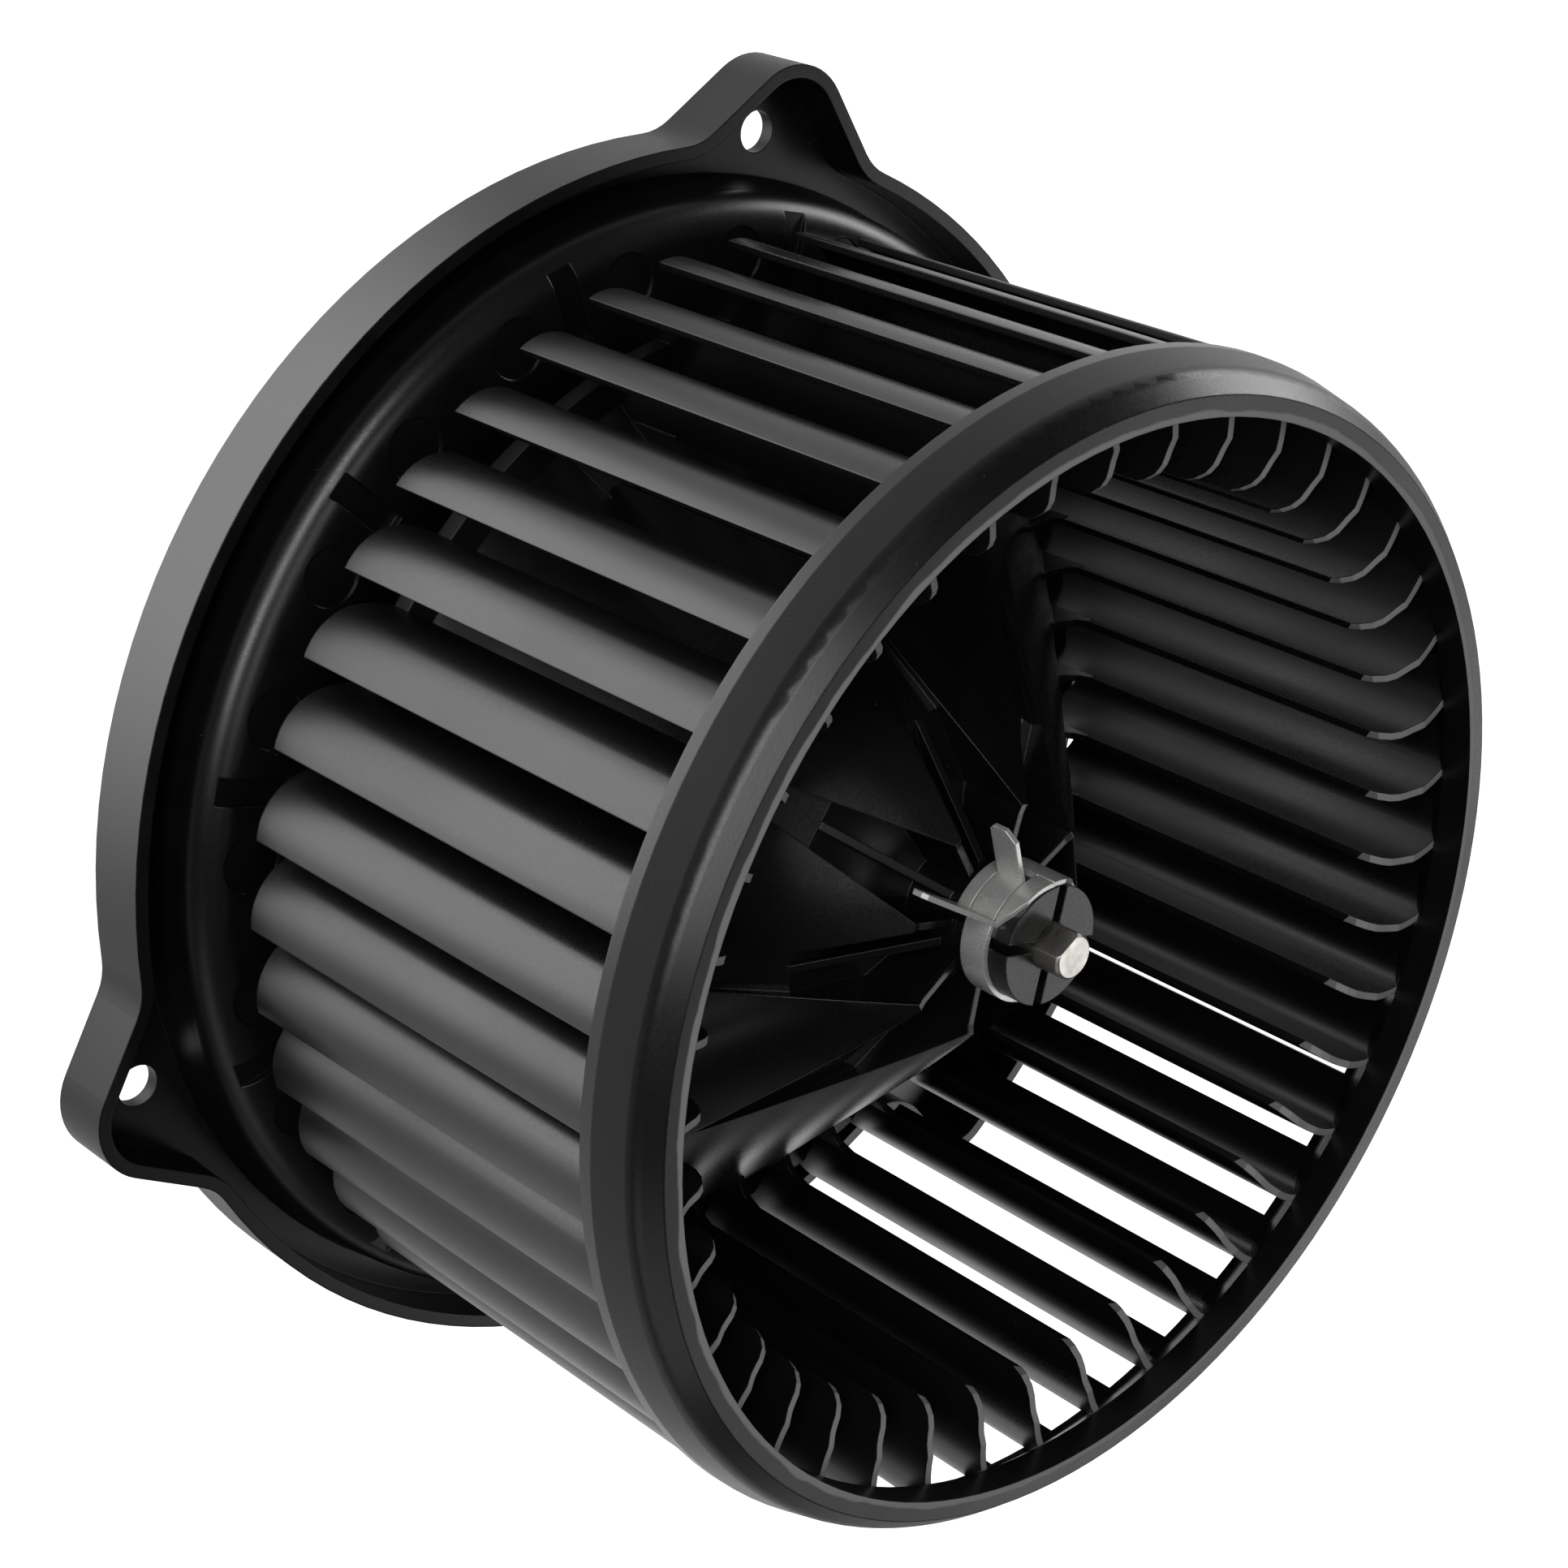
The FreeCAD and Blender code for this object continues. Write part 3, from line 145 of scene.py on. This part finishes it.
# ---- materials -----------------------------------------------------------------------------------
class Sheet:
    """Node tree of one material, with short calls for its nodes. Lengths are in millimetres."""

    def __init__(self, name):
        self.mat = bpy.data.materials.new(name)
        self.mat.use_nodes = True
        self.tree = self.mat.node_tree
        self.shader = self.tree.nodes["Principled BSDF"]
        coords = self.node("ShaderNodeTexCoord")
        self.place = self.vector("MULTIPLY", coords.outputs["Object"], (1000.0, 1000.0, 1000.0))

    def node(self, kind, **settings):
        made = self.tree.nodes.new(kind)
        for key, value in settings.items():
            setattr(made, key, value)
        return made

    def feed(self, socket, value):
        if isinstance(value, bpy.types.NodeSocket):
            self.tree.links.new(value, socket)
        else:
            socket.default_value = value

    def vector(self, operation, a, b):
        n = self.node("ShaderNodeVectorMath", operation=operation)
        self.feed(n.inputs[0], a)
        self.feed(n.inputs[1], b)
        return n.outputs[0]

    def math(self, operation, a, b=0.0, clamp=False):
        n = self.node("ShaderNodeMath", operation=operation, use_clamp=clamp)
        self.feed(n.inputs[0], a)
        self.feed(n.inputs[1], b)
        return n.outputs[0]

    def noise(self, size, detail=3.0, stretch=(1, 1, 1)):
        n = self.node("ShaderNodeTexNoise")
        waves = tuple(s / size for s in stretch)
        self.feed(n.inputs["Vector"], self.vector("MULTIPLY", self.place, waves))
        n.inputs["Scale"].default_value = 1.0
        n.inputs["Detail"].default_value = detail
        return n.outputs["Fac"]

    def specks(self, pitch, radius, share):
        """Small round dots, one in a cell of the given pitch in the given share of the cells."""
        n = self.node("ShaderNodeTexVoronoi")
        self.feed(n.inputs["Vector"], self.vector("MULTIPLY", self.place, (1.0 / pitch,) * 3))
        n.inputs["Scale"].default_value = 1.0
        dot = self.ramp(n.outputs["Distance"], radius / pitch, 0.5 * radius / pitch)
        chosen = self.math("LESS_THAN", self.part(n.outputs["Color"], 0), share)
        return self.math("MULTIPLY", dot, chosen)

    def part(self, colour, index):
        n = self.node("ShaderNodeSeparateColor")
        self.feed(n.inputs[0], colour)
        return n.outputs[index]

    def ramp(self, value, low, high, out_low=0.0, out_high=1.0, smooth=False):
        n = self.node("ShaderNodeMapRange", interpolation_type="SMOOTHSTEP" if smooth else "LINEAR")
        self.feed(n.inputs["Value"], value)
        for key, number in (("From Min", low), ("From Max", high), ("To Min", out_low), ("To Max", out_high)):
            self.feed(n.inputs[key], number)
        return n.outputs[0]

    def blend(self, share, first, second):
        n = self.node("ShaderNodeMix", data_type="RGBA")
        self.feed(n.inputs["Factor"], share)
        for socket, colour in ((n.inputs["A"], first), (n.inputs["B"], second)):
            self.feed(socket, colour if isinstance(colour, bpy.types.NodeSocket) else (*colour, 1.0))
        return n.outputs["Result"]

    def bump(self, heights, round_edges=0.0):
        """Chains bumps, each a height field and its depth in millimetres."""
        normal = None
        if round_edges:
            edge = self.node("ShaderNodeBevel", samples=6)
            edge.inputs["Radius"].default_value = round_edges * MM
            normal = edge.outputs[0]
        for field, depth in heights:
            n = self.node("ShaderNodeBump")
            n.inputs["Strength"].default_value = 1.0
            n.inputs["Distance"].default_value = depth * MM
            self.feed(n.inputs["Height"], field)
            if normal:
                self.feed(n.inputs["Normal"], normal)
            normal = n.outputs[0]
        self.feed(self.shader.inputs["Normal"], normal)

    def height(self):
        n = self.node("ShaderNodeSeparateXYZ")
        self.feed(n.inputs[0], self.place)
        return n.outputs["Z"]

    def facing_up(self):
        geometry = self.node("ShaderNodeNewGeometry")
        n = self.node("ShaderNodeSeparateXYZ")
        self.feed(n.inputs[0], geometry.outputs["True Normal"])
        return n.outputs["Z"]

    def distance(self, centre):
        """Distance in plan from a point."""
        flat = self.vector("MULTIPLY", self.place, (1.0, 1.0, 0.0))
        flat = self.vector("SUBTRACT", flat, (*centre, 0.0))
        n = self.node("ShaderNodeVectorMath", operation="LENGTH")
        self.feed(n.inputs[0], flat)
        return n.outputs["Value"]

    def set(self, **sockets):
        for key, value in sockets.items():
            name = key.replace("_", " ")
            if isinstance(value, tuple):
                value = (*value, 1.0)
            self.feed(self.shader.inputs[name], value)


def black_plastic(name, base, gloss, dust):
    """Injection-moulded black plastic: slow waves in the gloss, fine grain, and dust specks in a random share
    of small cells."""
    s = Sheet(name)
    flow = s.noise(38.0, 1.5)
    cloud = s.noise(6.0, 3.0)
    grain = s.noise(0.35, 2.0)
    specks = s.specks(3.1, 0.09, dust)
    colour = s.blend(s.ramp(cloud, 0.35, 0.7), base, tuple(c * 1.35 for c in base))
    colour = s.blend(specks, colour, DUST_GREY)
    rough = s.math("ADD", s.ramp(flow, 0.35, 0.65, *gloss), s.ramp(grain, 0.3, 0.7, -0.03, 0.03))
    rough = s.math("ADD", rough, s.math("MULTIPLY", specks, 0.3), clamp=True)
    return s, colour, rough, flow, grain


def wheel_plastic():
    s, colour, rough, flow, grain = black_plastic("wheel_plastic", WHEEL_BLACK, WHEEL_GLOSS, 0.35)
    reach = s.distance((0.0, 0.0))
    # the hub is polished, the blades and the ring are satin
    rough = s.math("ADD", rough, s.ramp(reach, *HUB_EDGE, HUB_POLISH, 0.0))
    # blade ends and the inner lip of the ring are matt where they leave the mould's parting face; where they
    # face up they are also painted a lighter grey, a painted highlight for the light from above
    ragged = s.ramp(s.noise(9.0), 0.3, 0.7, -0.3, 0.3)
    lip = s.ramp(s.math("ADD", reach, ragged), *RING_LIP_R)
    top = s.math("MULTIPLY", s.ramp(s.height(), *MATT_LIT_ENDS_Z), s.ramp(reach, *MATT_LIT_ENDS_R))
    matt_and_lit_ends = s.math("MULTIPLY", s.math("MULTIPLY", top, lip), s.ramp(s.facing_up(), 0.2, 0.5))
    # painted highlight: upward-facing blade ends and the ring's inner lip are turned lighter grey for the
    # light they catch from above
    colour = s.blend(matt_and_lit_ends, colour, PAINTED_LIT_GREY)
    rough = s.math("ADD", rough, s.math("MULTIPLY", matt_and_lit_ends, 0.3), clamp=True)
    s.set(Base_Color=colour, Roughness=rough)
    s.bump([(flow, WAVE_DEEP), (grain, GRAIN_DEEP)], round_edges=0.28)
    return s.mat


def flange_plastic():
    s, colour, rough, flow, grain = black_plastic("flange_plastic", FLANGE_BLACK, FLANGE_GLOSS, 0.30)
    s.set(Base_Color=colour, Roughness=rough)
    s.bump([(flow, WAVE_DEEP), (grain, GRAIN_DEEP)], round_edges=0.3)
    return s.mat


def metal(name, base, rough, pitch=0.25, depth=0.004, stretch=(1, 1, 1), stain=0.7, edge=0.12,
          bare=1.0):
    """Clouded metal with fine lines. The share of it that isn't bare has a dull plated film."""
    s = Sheet(name)
    cloud = s.noise(3.5, 4.0)
    lines = s.noise(pitch, 2.0, stretch)
    colour = s.blend(s.ramp(cloud, 0.3, 0.7), base, tuple(c * stain for c in base))
    gloss = s.ramp(cloud, 0.3, 0.7, rough - 0.06, rough + 0.08)
    gloss = s.math("ADD", gloss, s.ramp(lines, 0.3, 0.7, -0.05, 0.05), clamp=True)
    s.set(Base_Color=colour, Metallic=bare, Roughness=gloss)
    s.bump([(lines, depth)], round_edges=edge)
    return s.mat


def solid(name, base, rough, pitch=0.3, depth=0.008, tone=0.75, edge=0.15, coat=0.0):
    """Clouded and grained stuff that isn't metal."""
    s = Sheet(name)
    cloud = s.noise(2.5, 4.0)
    grain = s.noise(pitch, 3.0)
    colour = s.blend(s.ramp(cloud, 0.3, 0.7), base, tuple(c * tone for c in base))
    gloss = s.ramp(grain, 0.3, 0.7, rough - 0.06, rough + 0.06)
    s.set(Base_Color=colour, Roughness=gloss, Coat_Weight=coat)
    s.bump([(grain, depth)], round_edges=edge)
    return s.mat


def add_materials():
    made = {
        "wheel_plastic": wheel_plastic(),
        "flange_plastic": flange_plastic(),
        "connector_plastic": solid("connector_plastic", (0.02, 0.02, 0.022), 0.42),
        "rubber_black": solid("rubber_black", (0.015, 0.015, 0.015), 0.7, 0.2, 0.02),
        "lead_black": solid("lead_black", (0.015, 0.015, 0.015), 0.45),
        "lead_red": solid("lead_red", (0.36, 0.015, 0.012), 0.45),
        "nylon": solid("nylon", (0.72, 0.69, 0.6), 0.4),
        "carbon": solid("carbon", (0.03, 0.03, 0.033), 0.6, 0.12, 0.02),
        "phenolic": solid("phenolic", (0.17, 0.075, 0.03), 0.5, 0.4, 0.01, 0.6),
        "capacitor_coat": solid("capacitor_coat", (0.5, 0.22, 0.03), 0.25, 1.0, 0.02, 0.9, 0.3, 0.6),
        "insulator_green": solid("insulator_green", (0.05, 0.24, 0.11), 0.4),
        "ferrite": solid("ferrite", (0.05, 0.05, 0.055), 0.62, 0.15, 0.02),
        "laminations": metal("laminations", (0.33, 0.33, 0.34), 0.42, 0.5, 0.02, (0.05, 0.05, 1)),
        "spring_steel": metal("spring_steel", (0.74, 0.75, 0.73), 0.30, 0.3, 0.0015, stain=0.9,
                              edge=0.2, bare=0.6),
        "shaft_steel": metal("shaft_steel", (0.84, 0.81, 0.76), 0.36, 0.12, 0.002, (0.1, 0.1, 1),
                             stain=0.85),
        "zinc_sheet": metal("zinc_sheet", (0.58, 0.59, 0.58), 0.34, 0.4),
        "zinc_screw": metal("zinc_screw", (0.6, 0.6, 0.57), 0.3, 0.3),
        "sintered_bronze": metal("sintered_bronze", (0.42, 0.27, 0.13), 0.5, 0.15, 0.02),
        "sheet_brass": metal("sheet_brass", (0.72, 0.55, 0.26), 0.3, 0.4),
        "tinned_brass": metal("tinned_brass", (0.72, 0.7, 0.64), 0.32, 0.3),
        "copper": metal("copper", (0.75, 0.32, 0.16), 0.3, 0.35, 0.03),
    }
    for node in nodes.values():
        for held in node.material_slots:
            held.material = made[held.material.name.split(".")[0]]


add_camera()
add_world()
add_floor()
for box_name, setting in SOFTBOXES.items():
    softbox(box_name, *setting)
add_materials()
bpy.context.scene.view_settings.view_transform = "Standard"
